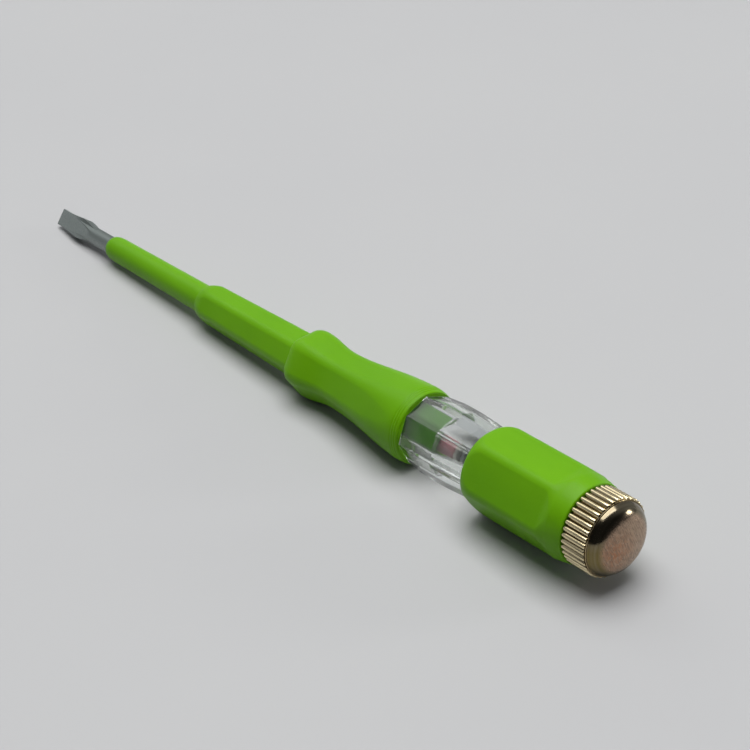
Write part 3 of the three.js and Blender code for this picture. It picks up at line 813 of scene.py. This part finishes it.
def finishGeometryTree(tree, geometry, material):
    real = addNode(tree, "GeometryNodeRealizeInstances", [geometry])
    dressed = addNode(tree, "GeometryNodeSetMaterial", {"Geometry": real, "Material": material})
    addNode(tree, "NodeGroupOutput", {"Geometry": dressed})


# A piece made by a node tree, turned into a plain mesh
def runTree(tree, name, values):
    holder = addObject(name, bpy.data.meshes.new(name))
    modifier = holder.modifiers.new("nodes", "NODES")
    modifier.node_group = tree
    sockets = {item.name: item.identifier for item in tree.interface.items_tree if item.in_out == "INPUT"}
    for label, value in values.items():
        modifier[sockets[label]] = value
    applyModifiers(holder)
    return holder


def makeKnurl():
    tooth = addObject("knurl_tooth", makeToothMesh())
    tree, given = newGeometryTree("straight_knurl", {
        "Tooth": "NodeSocketObject", "Teeth": "NodeSocketInt", "Place": "NodeSocketVector",
        "Metal": "NodeSocketMaterial"})
    line = addNode(tree, "GeometryNodeMeshLine", {"Count": given["Teeth"], "Offset": (0, 0, 0)})
    one = addNode(tree, "GeometryNodeObjectInfo", {"Object": given["Tooth"]})
    number = addNode(tree, "GeometryNodeInputIndex")
    pitch = addNode(tree, "ShaderNodeMath", [2 * math.pi, given["Teeth"]], operation="DIVIDE")
    angle = addNode(tree, "ShaderNodeMath", [number, pitch], operation="MULTIPLY")
    turn = addNode(tree, "ShaderNodeCombineXYZ", {"X": angle})
    copies = addNode(tree, "GeometryNodeInstanceOnPoints", {
        "Points": line, "Instance": one.outputs["Geometry"], "Rotation": turn})
    placed = addNode(tree, "GeometryNodeTransform", {"Geometry": copies, "Translation": given["Place"]})
    finishGeometryTree(tree, placed, given["Metal"])
    knurl = runTree(tree, "cap_knurl", {
        "Tooth": tooth, "Teeth": cap["teeth"], "Place": (capX * mm, 0, axisHeight), "Metal": capMetal})
    bpy.data.objects.remove(tooth)
    return knurl


# Pressure spring: a helix of drawn wire between the lamp and the contact button
spring = {"coil": 1.5, "wire": 0.25, "pitch": 1.0, "resolution": 24, "wireSides": 12}
springX, springEndX = nodeEnds("pressure_spring")


def makeSpring():
    tree, given = newGeometryTree("pressure_spring", {
        "Turns": "NodeSocketFloat", "Coil radius": "NodeSocketFloat", "Length": "NodeSocketFloat",
        "Wire radius": "NodeSocketFloat", "Resolution": "NodeSocketInt", "Wire sides": "NodeSocketInt",
        "Place": "NodeSocketVector", "Steel": "NodeSocketMaterial"})
    helix = addNode(tree, "GeometryNodeCurveSpiral", {
        "Resolution": given["Resolution"], "Rotations": given["Turns"], "Height": given["Length"],
        "Start Radius": given["Coil radius"], "End Radius": given["Coil radius"]})
    section = addNode(tree, "GeometryNodeCurvePrimitiveCircle", {
        "Resolution": given["Wire sides"], "Radius": given["Wire radius"]})
    wire = addNode(tree, "GeometryNodeCurveToMesh", {
        "Curve": helix, "Profile Curve": section, "Fill Caps": True})
    laid = addNode(tree, "GeometryNodeTransform", {
        "Geometry": wire, "Rotation": (0, math.pi / 2, 0), "Translation": given["Place"]})
    finishGeometryTree(tree, laid, given["Steel"])
    length = springEndX - springX - 2 * spring["wire"]
    coil = runTree(tree, "spring_wound", {
        "Turns": float(round(length / spring["pitch"])), "Coil radius": spring["coil"] * mm,
        "Length": length * mm, "Wire radius": spring["wire"] * mm, "Resolution": spring["resolution"],
        "Wire sides": spring["wireSides"], "Place": ((springX + spring["wire"]) * mm, 0, axisHeight),
        "Steel": springSteel})
    for face in coil.data.polygons:
        face.use_smooth = True
    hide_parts("pressure_spring")
    return coil


# Neon lamp: a drawn glass tube with a rounded rim at each end
lamp = {"radius": 1.75, "wall": 0.4, "rim": 0.2}


def makeLampBulb():
    fromX, toX = nodeEnds("lamp_glass")
    middle = lamp["radius"] - lamp["wall"] / 2
    rings = []
    for centreX, startAngle in ((toX - lamp["rim"], 90), (fromX + lamp["rim"], 270)):
        for share in steps(8):
            angle = math.radians(startAngle - 180 * share)
            radius = middle + lamp["wall"] / 2 * math.sin(angle)
            rings.append(ring(centreX + lamp["rim"] * math.cos(angle), radius))
    bulb = ringPiece("lamp_bulb", rings, lampGlass, "lamp_glass")
    bulb.visible_shadow = False  # the glass lets its electrodes be lit
    return bulb


pieces = {
    "handle": [
        makeBlade(), makeSleeve(), makeFrontGrip(), makeClearBarrel(), makeRearGrip(), makeLampBulb()],
    "cap": [makeCapBody(), makeKnurl()],
}
for body, made in pieces.items():
    for piece in made:
        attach(piece, body)
coil = makeSpring()
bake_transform(coil)
print("pieces built")

# The parts inside the barrel keep their CAD shapes and get their own finish
innerFinish = {
    "lamp_contact_front": contactNickel, "lamp_contact_rear": contactNickel, "contact_button": contactBrass,
    "resistor_cap_front": contactBrass, "resistor_cap_rear": contactBrass, "resistor_body": ceramic,
    "lamp_electrode_left": electrodeMetal, "lamp_electrode_right": electrodeMetal,
}
for node, material in innerFinish.items():
    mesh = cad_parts[node].data
    mesh.materials.clear()
    mesh.materials.append(material)
print("inner parts dressed")


# Floor, light and camera, in metres and watts, with millimetres for the floor's clouds, the lens, the sensor
# and the cap's distance. The floor is matt laminate: an even pale grey that takes soft shadows.
studio = {
    "floorColour": "B9B9B9", "floorShade": "B5B5B6", "floorCloud": 60.0, "floorRoughness": 0.55,
    "floorSpecular": 0.3, "floorSize": 10.0,
    "mainPower": 16.3, "mainSize": 1.05, "mainHeight": 1.2, "mainTilt": 5.0,
    "sidePower": 2.0, "sideSize": 0.25, "sideFrom": (0.66, 0.94, 0.30),
    "windowPower": 1.5, "windowSize": 0.6, "windowFrom": (-0.82, 0.12, 0.88),
    "roomColour": "E6EAEE", "roomBright": 0.42, "roomDark": 0.03, "roomFrom": (-0.78, 0.5, 0.38),
    "roomEdge": (-0.25, 0.6),
}
view = {
    "azimuth": 52.88, "elevation": 31.77, "roll": 5.19, "lens": 96.0, "sensor": 36.0, "nearest": 0.01,
    "capPixel": (593.4, 525.65), "capDistance": 268.9, "frameSize": 750,
}


# The tool rests on its flared ring and on the lowest flat of its guard collar, a little nose down
def makeFloor():
    s = studio
    collarFlat = flatRadius(grip["collar"], grip["sides"], grip["hexRound"])
    collarCrestX = collarX + grip["crest"]
    ringX = windowX - grip["ringEdgeLength"]
    slope = (grip["ring"] - collarFlat) / (ringX - collarCrestX)
    height = axisHeight - (collarFlat - slope * collarCrestX) * mm
    reach = s["floorSize"] / 2
    corners = ((-reach, -reach), (reach, -reach), (reach, reach), (-reach, reach))
    mesh = bpy.data.meshes.new("floor")
    mesh.from_pydata([(x, y, height - slope * x) for x, y in corners], [], [(0, 1, 2, 3)])
    material, tree = newMaterial("laminate_matt_pale")
    cloud = spotPattern(tree, s["floorCloud"], detail=3.0)
    mixed = addNode(tree, "ShaderNodeMix", {
        0: cloud, 6: hexColour(s["floorColour"]), 7: hexColour(s["floorShade"])}, data_type="RGBA")
    finishMaterial(tree, {
        "Base Color": mixed, "Roughness": s["floorRoughness"], "Specular IOR Level": s["floorSpecular"]})
    mesh.materials.append(material)
    addObject("floor", mesh)


def addArea(name, position, size, power):
    light = bpy.data.lights.new(name, "AREA")
    light.shape = "RECTANGLE"
    light.size = light.size_y = size
    light.energy = power
    holder = addObject(name, light)
    holder.location = position
    holder.rotation_euler = (Vector() - Vector(position)).to_track_quat("-Z", "Y").to_euler()


# A softbox overhead, a small one low behind the cap, a bright window beyond the blade, and a room that is
# bright behind the blade and dark round the camera, as plated metal and clear plastic show it
def makeLight():
    s = studio
    tilt = math.radians(s["mainTilt"])
    mainFrom = (0.0, s["mainHeight"] * math.sin(tilt), s["mainHeight"] * math.cos(tilt))
    addArea("softbox", mainFrom, s["mainSize"], s["mainPower"])
    addArea("side_softbox", s["sideFrom"], s["sideSize"], s["sidePower"])
    addArea("room_window", s["windowFrom"], s["windowSize"], s["windowPower"])
    world = bpy.data.worlds.new("room")
    world.use_nodes = True
    tree = world.node_tree
    tree.nodes.clear()
    toSky = addNode(tree, "ShaderNodeTexCoord")
    facing = addNode(tree, "ShaderNodeVectorMath", [
        toSky.outputs["Generated"], Vector(s["roomFrom"]).normalized()], operation="DOT_PRODUCT")
    strength = addNode(tree, "ShaderNodeMapRange", [
        facing, *s["roomEdge"], s["roomDark"], s["roomBright"]], interpolation_type="SMOOTHSTEP")
    background = addNode(tree, "ShaderNodeBackground", {
        "Color": hexColour(s["roomColour"]), "Strength": strength})
    addNode(tree, "ShaderNodeOutputWorld", {"Surface": background})
    bpy.context.scene.world = world


# The photograph's camera, solved from the cap's circles and the grip's parallel edges
def makeCamera():
    azimuth, elevation, roll = (math.radians(view[k]) for k in ("azimuth", "elevation", "roll"))
    ahead = Vector((-math.sin(azimuth), math.cos(azimuth), 0))
    forward = ahead * math.cos(elevation) - Vector((0, 0, math.sin(elevation)))
    level = Vector((math.cos(azimuth), math.sin(azimuth), 0))
    down = forward.cross(level)
    right = math.cos(roll) * level + math.sin(roll) * down
    down = -math.sin(roll) * level + math.cos(roll) * down
    focal = view["lens"] / view["sensor"] * view["frameSize"]
    distance = view["capDistance"] * mm
    across, below = ((pixel - view["frameSize"] / 2) / focal * distance for pixel in view["capPixel"])
    capCentre = Vector((capX * mm, 0, axisHeight))
    position = capCentre - right * across - down * below - forward * distance
    data = bpy.data.cameras.new("photo_view")
    data.lens = view["lens"]
    data.sensor_width = view["sensor"]
    data.clip_start = view["nearest"]
    camera = addObject("photo_view", data)
    axes = Matrix((right, -down, -forward)).transposed()
    camera.matrix_world = Matrix.Translation(position) @ axes.to_4x4()
    bpy.context.scene.camera = camera


makeFloor()
makeLight()
makeCamera()
bpy.context.scene.view_settings.view_transform = "Standard"
print("studio ready")
